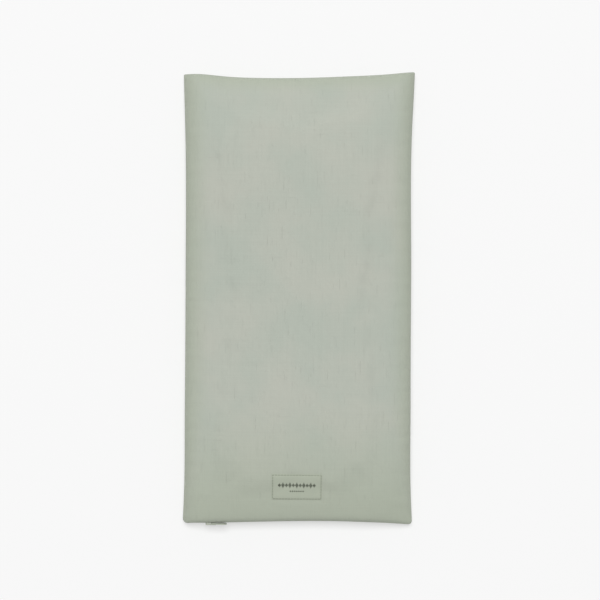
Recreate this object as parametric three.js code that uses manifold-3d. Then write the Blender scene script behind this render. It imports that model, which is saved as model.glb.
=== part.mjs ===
// Eye pillow: a zipped cotton cover over an inner bag of flaxseed, lying on its back.
// Millimetres. X across, Y along, Z up; the origin is on the surface it lies on, under its middle.
// The zip is in the seam of the short end at -Y.

import * as THREE from 'three';
import { LoftGeometry } from 'three/addons/geometries/LoftGeometry.js';
import { mergeVertices } from 'three/addons/utils/BufferGeometryUtils.js';
import Module from 'manifold-3d';

const wasm = await Module();
wasm.setup();

// ---------------------------------------------------------------- driving dimensions

// Whole pillow
const width = 115.2; // over the corners
const length = 226.4; // over the corners
const thickness = 19; // surface to crown
const seamHeight = 7.2; // side seam above the surface
const cornerDroop = 3.6; // how far the empty corners hang below the side seam
const droopLength = 62; // length of long side over which the seam comes down to a corner
const sideHollow = 0.9; // how far each long side pulls in between its corners
const plainHollow = 2.2; // the same at the plain short end
const zipHollow = 1.2; // the same at the zipped short end
const cornerRadius = 2.4;

// Cloth and sewing
const air = 0.3; // clearance between neighbouring pieces
const thread = 0.3; // sewing thread
const seamThreadDepth = 0.1; // folded edge to the seam's thread
const coverCloth = 0.35;
const coverAllowance = 8; // cloth turned in past the seam
const bagCloth = 0.3;
const bagAllowance = 5;
const coverRoll = 2.2; // height of the cover's stiff folded edge over its seam
const bagRoll = 1.2;
const rollRun = 0.7; // distance over which a folded edge reaches that height
const closingLength = 60; // filling gap of the inner bag
const sideFullness = 7; // higher is flatter on top and steeper at the edge
const endFullness = 5;
const edgeSoftness = 0.75;
const sideHollowPower = 6; // higher keeps a side straight for longer
const plainHollowPower = 2.2;

// Zip
const zipLeftMargin = 8.1; // corner to zip at -X
const zipRightMargin = 21.6; // corner to zip at +X
const tapeThickness = 0.3;
const tapeMargin = 1.3; // stitch line to the tape's inner edge
const coilThickness = 1.1;
const railHeight = 0.7; // solid side of a row of teeth
const toothHeight = 0.75;
const toothWidth = 0.4;
const toothPitch = 1.3;
const stopLength = 1.4;
const stopMargin = 0.5; // end of tape to stop
const zipStitchWidth = 0.5;

// Slider and pull
const slide = 0.2; // running clearance of the slider
const sliderLength = 7.2;
const sliderWall = 0.45;
const sliderPlate = 0.6;
const neckThickness = 0.5;
const bridgeLength = 5.2;
const bridgeWidth = 1.2;
const bridgeBar = 0.4;
const pinDiameter = 0.5;
const pullLength = 8; // hinge to tip
const pullWidth = 4.2;
const pullArm = 0.7;
const pullThickness = 0.6;
const flangeGap = 0.1; // front of the teeth to the slider's flanges
const pinPlay = 0.1; // pin to bridge
const pinSide = 0.35; // pin to the side of its hole
const pinSeat = 0.1; // how far the pin stands over the tab
const holeInset = 0.05; // lips to the inner end of the pin's hole

// Labels
const labelWidth = 25;
const labelLength = 13;
const labelThickness = 0.35;
const labelOffset = -0.6; // its middle from the pillow's middle, across
const labelInset = 18.9; // corner line of the zipped end to its middle
const labelHem = 0.5; // its edge to its stitch line
const careWidth = 16;
const careReach = 9; // how far it lies over the inner bag
const careThickness = 0.25;
const careMiddle = -38; // its middle along the -X side
const careCatch = 0.1; // turned-in cloth to its caught end
const careSlack = 0.2; // its bend to the inner bag, past the usual clearance

// ---------------------------------------------------------------- derived dimensions

const halfWidth = width / 2;
const halfLength = length / 2;
const seamGap = thread + 2 * air; // between the two panels, at the seam
const zipLeft = zipLeftMargin - halfWidth;
const zipRight = halfWidth - zipRightMargin;
const zipEndY = zipHollow - halfLength;

// Depths below a panel's outer face: the cloth, its turned-in allowance, then the zip tape
const layers = cloth => ({
	inside: cloth,
	turnOuter: cloth + air,
	turnInner: 2 * cloth + air,
	next: 2 * cloth + 2 * air,
});
const coverLayers = layers( coverCloth );
const tapeInner = coverLayers.next + tapeThickness;

const cover = {
	inset: 0,
	floor: 0,
	cloth: coverCloth,
	allowance: coverAllowance,
	roll: coverRoll,
	crown: thickness - seamHeight - seamGap / 2 - coverRoll,
};

// The teeth lie as deep as the slider around them needs, where the tapes have parted far enough
const railTop = seamGap / 2 + toothHeight + railHeight;
const sliderHalf = railTop + slide + sliderWall;
const sliderFirstX = zipLeft + stopMargin + stopLength + air + sliderLength / 2;
const coilDepth = depthWhereTapesClear( sliderHalf + air, sliderFirstX - sliderLength / 2 );
const coilBack = coilDepth + coilThickness;
const sliderBack = coilBack + slide + sliderPlate;
const zipStitchDepth = sliderBack + air;
const tapeReach = zipStitchDepth + zipStitchWidth + tapeMargin - tapeInner;

const bag = {
	inset: sliderBack + 2 * air,
	floor: coverCloth + air,
	cloth: bagCloth,
	allowance: bagAllowance,
	roll: bagRoll,
	crown: cover.crown + coverRoll - coverCloth - air - bagRoll,
};
const bagLayers = layers( bagCloth );

// ---------------------------------------------------------------- shape of the filled bag

// Fullness across or along a panel: 1 in the middle, 0 at its edge
function full( share, power ) {

	return Math.max( 0, 1 - Math.min( 1, share ) ** power ) ** edgeSoftness;

}

// Height of a panel over its seam plane, `depth` inside its outer face and `run` in from that face's edge
function rise( shell, depth, x, y, run ) {

	const across = Math.abs( x ) / ( halfWidth - shell.inset - depth );
	const along = Math.abs( y ) / ( halfLength - shell.inset - depth );
	const crown = shell.crown * full( across, sideFullness ) * full( along, endFullness );
	return seamGap / 2 + ( 1 - Math.exp( - run / rollRun ) ) * ( shell.roll - depth + crown );

}

// 0 along the zip and in the middle, 1 at the corners
function cornerShare( x, y ) {

	const zipEdge = x < 0 ? - zipLeft : zipRight;
	const start = y < 0 ? zipEdge : halfWidth - zipLeftMargin;
	const across = Math.max( 0, ( Math.abs( x ) - start ) / ( halfWidth - start ) ) ** 2;
	const along = Math.max( 0, ( Math.abs( y ) - halfLength + droopLength ) / droopLength ) ** 2;
	return { across, both: across * along };

}

function seamLevel( x, y ) {

	return seamHeight - cornerDroop * cornerShare( x, y ).both;

}

// Pulls the straight sides in between the corners
function hollow( x, y, z ) {

	const side = sideHollow * ( 1 - Math.abs( y / halfLength ) ** sideHollowPower );
	const plain = plainHollow * ( 1 - Math.abs( x / halfWidth ) ** plainHollowPower );
	const zipped = zipHollow * ( 1 - cornerShare( x, y ).across );
	const end = y > 0 ? plain : zipped;
	return new THREE.Vector3( x * ( 1 - side / halfWidth ), y * ( 1 - end / halfLength ), z );

}

// A point of a panel's face. side is 1 for the front, -1 for the back.
// The back lies flat where it meets the surface.
function facePoint( shell, side, depth, x, y, run ) {

	const level = seamLevel( x, y ) + side * rise( shell, depth, x, y, run );
	return hollow( x, y, side > 0 ? level : Math.max( shell.floor + depth, level ) );

}

// The same for a point given only by its place
function faceAt( shell, side, depth, x, y ) {

	const run = Math.min( halfWidth - Math.abs( x ), halfLength - Math.abs( y ) ) - shell.inset - depth;
	return facePoint( shell, side, depth, x, y, run );

}

// How deep past the zip's lips the tapes are `needed` away from the seam plane
function depthWhereTapesClear( needed, x ) {

	const step = 0.1;
	let run = 0;
	while ( rise( cover, tapeInner, x, halfLength - tapeInner - run, run ) < needed ) run += step;
	return tapeInner + run;

}

// ---------------------------------------------------------------- outlines

// Counter-clockwise corner points of a rounded rectangle, with stations along its four sides
function outline( endStations, plainStations ) {

	const x = halfWidth - cornerRadius;
	const y = halfLength - cornerRadius;
	const cornerSteps = 2;
	const points = [];
	const corner = ( cx, cy, start ) => {

		for ( let i = 0; i <= cornerSteps; i ++ ) {

			const angle = start + ( i / cornerSteps ) * Math.PI / 2;
			points.push( [ cx + cornerRadius * Math.cos( angle ), cy + cornerRadius * Math.sin( angle ) ] );

		}

	};
	const side = ( sx, from ) => {

		for ( let i = 1; i < sideSteps; i ++ ) points.push( [ sx, from * y * ( 1 - 2 * i / sideSteps ) ] );

	};
	corner( - x, - y, Math.PI );
	for ( const s of endStations ) points.push( [ s, - halfLength ] );
	corner( x, - y, - Math.PI / 2 );
	side( halfWidth, - 1 );
	corner( x, y, 0 );
	for ( const s of plainStations ) points.push( [ - s, halfLength ] );
	corner( - x, y, Math.PI / 2 );
	side( - halfWidth, 1 );
	return points;

}

function stations( from, to, steps ) {

	return Array.from( { length: steps + 1 }, ( _, i ) => from + ( to - from ) * i / steps );

}

const longestStep = 33; // along the long sides
const sideSteps = Math.ceil( length / longestStep );
const plainHalf = 0.7 * halfWidth; // the stretch of a short end that has stations of its own
const bagEndHalf = 0.6 * halfWidth;
const closingHalf = closingLength / 2;
const zipStations = stations( zipLeft, zipRight, 8 );
const coverOutline = outline( zipStations, stations( - plainHalf, plainHalf, 6 ) );
const closingStations = stations( - closingHalf, closingHalf, 3 );
const bagOutline = outline( stations( - bagEndHalf, bagEndHalf, 3 ), closingStations );

// An outline drawn in by `inset`, towards the spine down the pillow's middle
function drawnIn( points, inset ) {

	const spine = halfLength - halfWidth;
	const scale = 1 - inset / halfWidth;
	return points.map( ( [ x, y ] ) => {

		const past = Math.abs( y ) - spine;
		return [ x * scale, past > 0 ? Math.sign( y ) * ( spine + past * scale ) : y ];

	} );

}

// ---------------------------------------------------------------- cloth pieces

// How far in from the folded edge each ring of a panel is
const allowanceRuns = [ 0, 0.6, 1.8, 4.5 ];
const skinRuns = [ ...allowanceRuns, 9, 17, 30 ];
const lastRingMargin = 5; // last ring to the spine

function faceRing( shell, side, depth, run, points ) {

	const drawn = drawnIn( points, shell.inset + depth + run );
	return drawn.map( ( [ x, y ] ) => facePoint( shell, side, depth, x, y, run ) );

}

function ringAt( shell, side, depth, height, points ) {

	const drawn = drawnIn( points, shell.inset + depth );
	return drawn.map( ( [ x, y ] ) => hollow( x, y, seamLevel( x, y ) + side * height ) );

}

function loft( sections, caps = true ) {

	return new LoftGeometry( sections, { closed: true, capStart: caps, capEnd: caps } );

}

// Loft whose first and last rings close on a point in their middle
function closedLoft( rings ) {

	const pole = ring => {

		const sum = ring.reduce( ( total, point ) => total.add( point ), new THREE.Vector3() );
		const middle = sum.divideScalar( ring.length );
		return ring.map( () => middle );

	};
	return loft( [ pole( rings[ 0 ] ), ...rings, pole( rings[ rings.length - 1 ] ) ], false );

}

// One panel of a turned bag: its dome, the fold along the seam and the allowance that lies behind the dome
function panel( shell, side, points ) {

	const depth = layers( shell.cloth );
	const spineRun = halfWidth - shell.inset - depth.turnInner - lastRingMargin;
	const skin = [ ...skinRuns, spineRun ];
	const turn = [ ...allowanceRuns, shell.allowance ];
	const face = ( d, run ) => faceRing( shell, side, d, run, points );
	const fold = ( d, height ) => ringAt( shell, side, d, height, points );
	const floor = seamGap / 2 + shell.cloth;
	const rings = [
		...skin.slice( 1 ).reverse().map( run => face( depth.inside, run ) ),
		fold( depth.inside, floor ),
		fold( depth.turnOuter, floor ),
		...turn.slice( 1 ).map( run => face( depth.turnOuter, run ) ),
		...turn.slice( 1 ).reverse().map( run => face( depth.turnInner, run ) ),
		fold( depth.turnInner, seamGap / 2 ),
		...skin.map( run => face( 0, run ) ),
	];
	return closedLoft( side > 0 ? rings : rings.reverse() );

}

// The seeds fill the bag up to its allowances, and a little slack is left
function fillGeometry() {

	const depth = bagLayers.next + air;
	const runs = [ ...skinRuns, halfWidth - bag.inset - depth - lastRingMargin ];
	const face = ( side, run ) => faceRing( bag, side, depth, run, bagOutline );
	return closedLoft( [
		...runs.slice().reverse().map( run => face( - 1, run ) ),
		...runs.map( run => face( 1, run ) ),
	] );

}

// Thread in the gap between two panels, along a stretch of their outline
function seamThread( shell, points ) {

	const outer = drawnIn( points, shell.inset + seamThreadDepth );
	const inner = drawnIn( points, shell.inset + seamThreadDepth + thread );
	const corner = ( [ x, y ], height ) => hollow( x, y, seamLevel( x, y ) + height );
	return loft( points.map( ( _, i ) => [
		corner( inner[ i ], - thread / 2 ),
		corner( inner[ i ], thread / 2 ),
		corner( outer[ i ], thread / 2 ),
		corner( outer[ i ], - thread / 2 ),
	] ) );

}

// The points of an outline from one place to another, going counter-clockwise
function stretch( points, isStart, isEnd ) {

	const start = points.findIndex( isStart );
	const turned = [ ...points.slice( start ), ...points.slice( 0, start ) ];
	return turned.slice( 0, turned.findIndex( isEnd ) + 1 );

}

// ---------------------------------------------------------------- labels

// A patch that lies on the front panel; the two lists are the places of its grid
function frontLabel() {

	const xs = stations( labelOffset - labelWidth / 2, labelOffset + labelWidth / 2, 4 );
	const middle = labelInset - halfLength;
	const ys = stations( middle - labelLength / 2, middle + labelLength / 2, 4 );
	const at = ( x, y, depth ) => faceAt( cover, 1, depth, x, y );
	return loft( xs.map( x => [
		...ys.map( y => at( x, y, - air ) ),
		...ys.slice().reverse().map( y => at( x, y, - air - labelThickness ) ),
	] ) );

}

// A closed frame of thread on the label, labelHem inside its edge
function frontLabelStitching() {

	const middle = labelInset - halfLength;
	const base = - 2 * air - labelThickness;
	const corners = inset => {

		const x = labelWidth / 2 - labelHem - inset;
		const y = labelLength / 2 - labelHem - inset;
		const across = stations( - x, x, 4 ).slice( 1, - 1 );
		const along = stations( - y, y, 2 ).slice( 1, - 1 );
		return [
			[ - x, - y ], ...across.map( s => [ s, - y ] ), [ x, - y ], ...along.map( s => [ x, s ] ),
			[ x, y ], ...across.map( s => [ - s, y ] ), [ - x, y ], ...along.map( s => [ - x, - s ] ),
			[ - x, - y ],
		];

	};
	const inner = corners( thread );
	const at = ( [ x, y ], depth ) => faceAt( cover, 1, depth, x + labelOffset, y + middle );
	return loft( corners( 0 ).map( ( outer, i ) => [
		at( inner[ i ], base ),
		at( inner[ i ], base - thread ),
		at( outer, base - thread ),
		at( outer, base ),
	] ), false );

}

// A strip caught in the -X seam that lies over the inner bag
function careLabel() {

	const runs = [ 0, ...skinRuns.slice( 1, 4 ), careReach ];
	const half = careThickness / 2;
	const caught = cover.cloth * 2 + careCatch;
	const bend = bag.inset - air - careThickness - careSlack;
	return loft( stations( careMiddle - careWidth / 2, careMiddle + careWidth / 2, 2 ).map( y => {

		const level = inset => seamLevel( inset - halfWidth, y );
		const flat = ( inset, height ) => hollow( inset - halfWidth, y, level( inset ) + height );
		const over = ( depth, run ) => facePoint( bag, 1, depth, bag.inset + depth + run - halfWidth, y, run );
		return [
			flat( caught, half ),
			flat( bend, half ),
			...runs.map( run => over( - air - careThickness, run ) ),
			...runs.slice().reverse().map( run => over( - air, run ) ),
			flat( bend + careThickness, - half ),
			flat( caught, - half ),
		];

	} ) );

}

// ---------------------------------------------------------------- zip

// Places across the zip: how deep past the lips, and how high over the seam plane
function zipPoint( x, depth, height ) {

	return hollow( x, depth - halfLength, seamHeight + height );

}

function zipFace( side, depth, x, run ) {

	return facePoint( cover, side, depth, x, depth + run - halfLength, run );

}

// The tape lies on the allowance, folds at the lips and comes back in to its teeth
function zipTape( side ) {

	const runs = [ ...allowanceRuns.slice( 1 ), tapeReach ];
	const low = side * seamGap / 2;
	const high = side * ( seamGap / 2 + tapeThickness );
	const sections = zipStations.map( x => [
		zipPoint( x, coverLayers.next, low ),
		zipPoint( x, coilDepth - air, low ),
		zipPoint( x, coilDepth - air, high ),
		zipPoint( x, tapeInner, high ),
		...runs.map( run => zipFace( side, tapeInner, x, run ) ),
		...runs.slice().reverse().map( run => zipFace( side, coverLayers.next, x, run ) ),
	] );
	return loft( side > 0 ? sections : sections.reverse() );

}

// A line of thread on the inside of the tape
function zipStitching( side ) {

	const near = tapeInner + air;
	const far = near + thread;
	const at = ( depth, x, past ) => zipFace( side, depth, x, zipStitchDepth + past - depth );
	const sections = zipStations.map( x => [
		at( far, x, 0 ),
		at( far, x, zipStitchWidth ),
		at( near, x, zipStitchWidth ),
		at( near, x, 0 ),
	] );
	return loft( side > 0 ? sections : sections.reverse() );

}

const coilStart = zipLeft + stopMargin + stopLength + air;
const coilEnd = zipRight - stopMargin - stopLength - air;

// One row of teeth on its rail; the two rows are half a pitch apart
function zipCoil( side ) {

	const root = seamGap / 2 + toothHeight;
	const first = coilStart + toothWidth + ( side > 0 ? 0 : toothPitch / 2 );
	const row = new THREE.Shape();
	row.moveTo( coilStart, side * root );
	for ( let x = first; x + toothWidth < coilEnd; x += toothPitch ) {

		row.lineTo( x, side * root );
		row.lineTo( x, side * seamGap / 2 );
		row.lineTo( x + toothWidth, side * seamGap / 2 );
		row.lineTo( x + toothWidth, side * root );

	}
	row.lineTo( coilEnd, side * root );
	row.lineTo( coilEnd, side * railTop );
	row.lineTo( coilStart, side * railTop );
	const geometry = new THREE.ExtrudeGeometry( row, { depth: coilThickness, bevelEnabled: false } );
	geometry.rotateX( Math.PI / 2 );
	geometry.translate( 0, zipEndY + coilBack, seamHeight );
	return geometry;

}

function zipStop( from ) {

	const geometry = new THREE.BoxGeometry( stopLength, coilThickness, 2 * railTop );
	geometry.translate( from + stopLength / 2, zipEndY + coilDepth + coilThickness / 2, seamHeight );
	return geometry;

}

// ---------------------------------------------------------------- slider and pull

const weldDistance = 1e-4; // vertices nearer than this become one

// Box by its two ends along each axis
function block( x, y, z ) {

	const geometry = new THREE.BoxGeometry( x[ 1 ] - x[ 0 ], y[ 1 ] - y[ 0 ], z[ 1 ] - z[ 0 ] );
	geometry.translate( ( x[ 0 ] + x[ 1 ] ) / 2, ( y[ 0 ] + y[ 1 ] ) / 2, ( z[ 0 ] + z[ 1 ] ) / 2 );
	return solid( geometry );

}

function solid( geometry ) {

	const bare = geometry.clone();
	bare.deleteAttribute( 'normal' );
	bare.deleteAttribute( 'uv' );
	const merged = mergeVertices( bare, weldDistance );
	return new wasm.Manifold( new wasm.Mesh( {
		numProp: 3,
		vertProperties: merged.attributes.position.array,
		triVerts: new Uint32Array( merged.index.array ),
	} ) );

}

function geometryOf( manifold ) {

	const mesh = manifold.getMesh();
	const geometry = new THREE.BufferGeometry();
	geometry.setAttribute( 'position', new THREE.BufferAttribute( mesh.vertProperties, 3 ) );
	geometry.setIndex( new THREE.BufferAttribute( mesh.triVerts, 1 ) );
	geometry.computeVertexNormals();
	return geometry;

}

// Both are drawn about the lips: X along the zip, Y into the pillow, Z towards the front panel
const pinY = - slide - pinDiameter / 2;
const bridgeInner = pinY - pinDiameter / 2 - pinPlay;
const bridgeOuter = bridgeInner - bridgeBar;

// A channel round both rows of teeth, a neck out between the lips and a bridge over the pull's pin
function sliderBody() {

	const half = sliderLength / 2;
	const channelFloor = coilBack + slide;
	const flangeFront = coilDepth + flangeGap;
	const inner = sliderHalf - sliderWall;
	const bridge = bridgeLength / 2;
	const neck = neckThickness / 2;
	const neckBack = sliderBack - sliderPlate / 2;
	const holeHalf = pinDiameter / 2 + pinSide;
	const hole = block( [ - holeHalf, holeHalf ], [ bridgeInner, - holeInset ], [ - bridgeWidth, bridgeWidth ] );
	return [
		block( [ - half, half ], [ flangeFront, sliderBack ], [ inner, sliderHalf ] ),
		block( [ - half, half ], [ flangeFront, sliderBack ], [ - sliderHalf, - inner ] ),
		block( [ - bridge, bridge ], [ bridgeOuter, neckBack ], [ - neck, neck ] ),
		block( [ - bridge, bridge ], [ bridgeOuter, bridgeInner ], [ - bridgeWidth / 2, bridgeWidth / 2 ] ),
	].reduce(
		( body, piece ) => body.add( piece ),
		block( [ - half, half ], [ channelFloor, sliderBack ], [ - sliderHalf, sliderHalf ] )
	).subtract( hole );

}

// A teardrop tab with a window round the bridge, and a pin across the window's end
function pullTab() {

	const windowHalf = bridgeWidth / 2 + slide;
	const windowEnd = Math.hypot( bridgeLength / 2, bridgeOuter - pinY ) + slide;
	const armHalf = windowHalf + pullArm;
	const tip = pullWidth / 2;
	const eye = pinDiameter / 2;
	const shape = new THREE.Shape();
	shape.moveTo( - eye, - armHalf );
	shape.lineTo( windowEnd, - armHalf );
	shape.lineTo( pullLength - tip, - tip );
	shape.absarc( pullLength - tip, 0, tip, - Math.PI / 2, Math.PI / 2 );
	shape.lineTo( windowEnd, armHalf );
	shape.lineTo( - eye, armHalf );
	const hole = new THREE.Path();
	hole.moveTo( - 2 * eye, - windowHalf );
	hole.lineTo( - 2 * eye, windowHalf );
	hole.lineTo( windowEnd, windowHalf );
	hole.lineTo( windowEnd, - windowHalf );
	const cut = { depth: pullThickness, bevelEnabled: false, curveSegments: 6 };
	const plate = new THREE.ExtrudeGeometry( shape, cut );
	plate.rotateX( Math.PI / 2 );
	plate.translate( 0, eye - pinSeat, 0 );
	const through = 2 * pullThickness;
	const window = block( [ - 2 * eye, windowEnd ], [ - through, through ], [ - windowHalf, windowHalf ] );
	const pin = new THREE.CylinderGeometry( eye, eye, 2 * armHalf, 8 );
	pin.rotateX( Math.PI / 2 );
	return solid( plate ).subtract( window ).add( solid( pin ) );

}

// ---------------------------------------------------------------- the pillow

const group = new THREE.Group();

function add( name, geometry, color, roughness, metalness = 0 ) {

	const material = new THREE.MeshStandardMaterial( { color, roughness, metalness } );
	const mesh = new THREE.Mesh( geometry, material );
	mesh.name = name;
	group.add( mesh );
	return mesh;

}

const sage = 0xa6afa0;
const sageDark = 0x8f9a87;
const cotton = 0xdcd3bd;
const seed = 0x7a4a26;

add( 'cover_front_panel', panel( cover, 1, coverOutline ), sage, 0.9 );
add( 'cover_back_panel', panel( cover, - 1, coverOutline ), sage, 0.9 );
const sewn = stretch(
	coverOutline,
	( [ x, y ] ) => x === zipRight && y < 0,
	( [ x, y ] ) => x === zipLeft && y < 0
);
add( 'cover_seam_thread', seamThread( cover, sewn ), sageDark, 0.7 );

add( 'front_label', frontLabel(), sageDark, 0.8 );
add( 'front_label_stitching', frontLabelStitching(), sageDark, 0.7 );
add( 'care_label', careLabel(), 0xf1efe8, 0.6 );

add( 'zip_tape_front', zipTape( 1 ), sageDark, 0.85 );
add( 'zip_tape_back', zipTape( - 1 ), sageDark, 0.85 );
add( 'zip_stitching_front', zipStitching( 1 ), sage, 0.7 );
add( 'zip_stitching_back', zipStitching( - 1 ), sage, 0.7 );
add( 'zip_coil_front', zipCoil( 1 ), sageDark, 0.4 );
add( 'zip_coil_back', zipCoil( - 1 ), sageDark, 0.4 );
add( 'zip_top_stop', zipStop( zipLeft + stopMargin ), sageDark, 0.4 );
add( 'zip_bottom_stop', zipStop( zipRight - stopMargin - stopLength ), sageDark, 0.4 );

const slider = add( 'zip_slider', geometryOf( sliderBody() ), sageDark, 0.35, 0.3 );
slider.position.set( sliderFirstX, zipEndY, seamHeight );
const pull = add( 'zip_pull', geometryOf( pullTab() ), sageDark, 0.35, 0.3 );
pull.position.set( sliderFirstX, zipEndY + pinY, seamHeight );

add( 'inner_bag_front_panel', panel( bag, 1, bagOutline ), cotton, 0.9 );
add( 'inner_bag_back_panel', panel( bag, - 1, bagOutline ), cotton, 0.9 );
const gapStart = ( [ x, y ] ) => x === closingHalf && y > 0;
const gapEnd = ( [ x, y ] ) => x === - closingHalf && y > 0;
add( 'inner_bag_seam_thread', seamThread( bag, stretch( bagOutline, gapEnd, gapStart ) ), cotton, 0.7 );
add( 'inner_bag_closing_thread', seamThread( bag, stretch( bagOutline, gapStart, gapEnd ) ), cotton, 0.7 );
add( 'flaxseed_fill', fillGeometry(), seed, 0.6 );

export default group;
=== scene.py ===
"""Eye pillow, seen from straight above: a zipped sage cotton cover over an inner bag of flaxseed.

Shapes are worked out in millimetres, in the CAD model's frame, and become metres when a mesh is made.
X is across, Y along and Z up. A piece of cloth carries its flat thread coordinates in the attribute
"cloth", so that its weave follows the folds.
"""

import math
from types import SimpleNamespace

import bmesh
import bpy
import numpy as np
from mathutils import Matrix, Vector


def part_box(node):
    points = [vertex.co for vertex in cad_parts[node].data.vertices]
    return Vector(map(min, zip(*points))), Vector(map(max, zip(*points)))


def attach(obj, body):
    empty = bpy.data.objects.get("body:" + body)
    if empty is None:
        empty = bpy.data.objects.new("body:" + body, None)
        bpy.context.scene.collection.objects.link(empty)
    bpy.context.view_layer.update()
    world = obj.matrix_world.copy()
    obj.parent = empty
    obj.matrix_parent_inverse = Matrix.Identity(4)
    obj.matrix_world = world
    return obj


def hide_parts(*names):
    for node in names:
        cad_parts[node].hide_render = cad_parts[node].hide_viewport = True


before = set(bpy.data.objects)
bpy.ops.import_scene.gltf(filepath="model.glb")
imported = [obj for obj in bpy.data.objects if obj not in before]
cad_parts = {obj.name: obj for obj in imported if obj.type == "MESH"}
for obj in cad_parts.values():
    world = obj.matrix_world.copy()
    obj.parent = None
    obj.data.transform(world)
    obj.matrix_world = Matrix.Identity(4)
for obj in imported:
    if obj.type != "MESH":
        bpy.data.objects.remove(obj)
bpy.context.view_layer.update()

MM = 0.001


def box_mm(node):
    low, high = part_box(node)
    return np.array(low) / MM, np.array(high) / MM


# ---------------------------------------------------------------- sizes

HALF_WIDTH = 57.6
HALF_LENGTH = 113.2
SEAM_HEIGHT = 7.2
CORNER_DROOP = 3.6
DROOP_LENGTH = 62
CAD_GAP = 0.9  # between the folded edges at the zip
SEWN_GAP = 0.16  # between them where they are sewn
AIR = 0.3
EDGE_SOFTNESS = 0.75
SIDE_FULLNESS = 7
END_FULLNESS = 5
ROLL_RUN = 0.7
LIP = 0.26  # height of a fold's round edge
STOP_MARGIN = 0.5

top_stop = box_mm("zip_top_stop")
bottom_stop = box_mm("zip_bottom_stop")
ZIP_LEFT = top_stop[0][0] - STOP_MARGIN
ZIP_RIGHT = bottom_stop[1][0] + STOP_MARGIN
CORNER_MARGIN = HALF_WIDTH + ZIP_LEFT
CROWN_TOP = box_mm("cover_front_panel")[1][2]
COIL_FRONT_BOX = box_mm("zip_coil_front")
COIL_BACK_BOX = box_mm("zip_coil_back")
TAB_PROUD = 0.9  # how far the pull tab stands out past the even outline's zipped end
ZIP_END_Y = box_mm("zip_pull")[0][1] + TAB_PROUD
COIL_DEPTH = COIL_FRONT_BOX[0][1] - ZIP_END_Y
SLIDER_BACK = box_mm("zip_slider")[1][1]


# ---------------------------------------------------------------- outlines

def curve_through(points):
    """A smooth function through (place, value) points, flat beyond its ends."""
    at = np.array([p[0] for p in points], float)
    value = np.array([p[1] for p in points], float)
    slope = np.gradient(value, at)

    def evaluate(x):
        x = np.clip(x, at[0], at[-1])
        i = np.clip(np.searchsorted(at, x) - 1, 0, len(at) - 2)
        span = at[i + 1] - at[i]
        t = (x - at[i]) / span
        start = value[i] * (1 + 2 * t) * (1 - t) ** 2 + slope[i] * span * t * (1 - t) ** 2
        end = value[i + 1] * (3 - 2 * t) * t ** 2 - slope[i + 1] * span * (1 - t) * t ** 2
        return start + end

    return evaluate


# How far each edge of the pouch pulls in from its even rectangle, along that edge. The points were set by
# correcting them until the render's edges lay on the photo's, then thinned. The ends bow in between the
# corners, the sides less, and a corner that flares has a negative pull.
LEFT_PULL = curve_through([
    (-113, -0.4), (-98, 0.35), (-55, 0.9), (10, 1.3), (80, 1.2), (113, 0.2),
])
RIGHT_PULL = curve_through([
    (-113, 0.3), (-98, 1.0), (-50, 1.2), (10, 0.9), (85, 0.35), (100, -0.5), (113, -1.2),
])
PLAIN_PULL = curve_through([
    (-58, 0.3), (-50, 0.5), (-34, 1.95), (-6, 2.55), (22, 1.8), (50, 0.1), (58, -0.9),
])
ZIPPED_PULL = curve_through([
    (-58, 0.4), (-53, 1.05), (-44, 1.2), (28, 1.75), (46, 0.9), (58, -0.2),
])
CORNER_RADII = {(-1, -1): 2.6, (1, -1): 2.0, (-1, 1): 0.6, (1, 1): 0.7}


def smooth_step(x, start, end):
    t = np.clip((x - start) / (end - start), 0, 1)
    return t * t * (3 - 2 * t)


def round_corners(x, y, half_x, half_y, radii):
    """Carries a rectangle's corner squares on to quarter discs."""
    x, y = x.copy(), y.copy()
    for (sx, sy), radius in radii.items():
        u = (x * sx - (half_x - radius)) / radius
        v = (y * sy - (half_y - radius)) / radius
        inside = (u > 0) & (v > 0)
        u_in, v_in = np.minimum(u[inside], 1), np.minimum(v[inside], 1)
        x[inside] = sx * (half_x - radius + radius * u_in * np.sqrt(1 - v_in ** 2 / 2))
        y[inside] = sy * (half_y - radius + radius * v_in * np.sqrt(1 - u_in ** 2 / 2))
    return x, y


def cover_place(x, y):
    """From places on the even rectangle to places on the real pouch."""
    x, y = round_corners(x, y, HALF_WIDTH, HALF_LENGTH, CORNER_RADII)
    s, t = (x / HALF_WIDTH + 1) / 2, (y / HALF_LENGTH + 1) / 2
    return (
        (LEFT_PULL(y) - HALF_WIDTH) * (1 - s) + (HALF_WIDTH - RIGHT_PULL(y)) * s,
        (ZIPPED_PULL(x) - HALF_LENGTH) * (1 - t) + (HALF_LENGTH - PLAIN_PULL(x)) * t,
    )


def nominal_place(place, x, y):
    """The places on the even rectangle that `place` carries to x, y."""
    nx, ny = np.array(x, float), np.array(y, float)
    for _ in range(4):
        px, py = place(nx, ny)
        nx, ny = nx + x - px, ny + y - py
    return nx, ny


def corner_share(x, y):
    """0 along the zip and in the middle, 1 at the corners."""
    zip_edge = np.where(x < 0, -ZIP_LEFT, ZIP_RIGHT)
    start = np.where(y < 0, zip_edge, HALF_WIDTH - CORNER_MARGIN)
    across = np.maximum(0, (np.abs(x) - start) / (HALF_WIDTH - start)) ** 2
    along = np.maximum(0, (np.abs(y) - HALF_LENGTH + DROOP_LENGTH) / DROOP_LENGTH) ** 2
    return across, across * along


SIDE_BOW = 0.9
PLAIN_BOW = 2.2
ZIPPED_BOW = 1.2


def even_place(x, y):
    """The CAD model's own outline, which the pieces inside the cover keep."""
    side = SIDE_BOW * (1 - np.abs(y / HALF_LENGTH) ** 6)
    plain = PLAIN_BOW * (1 - np.abs(x / HALF_WIDTH) ** 2.2)
    zipped = ZIPPED_BOW * (1 - corner_share(x, y)[0])
    end = np.where(y > 0, plain, zipped)
    return x * (1 - side / HALF_WIDTH), y * (1 - end / HALF_LENGTH)


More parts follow.
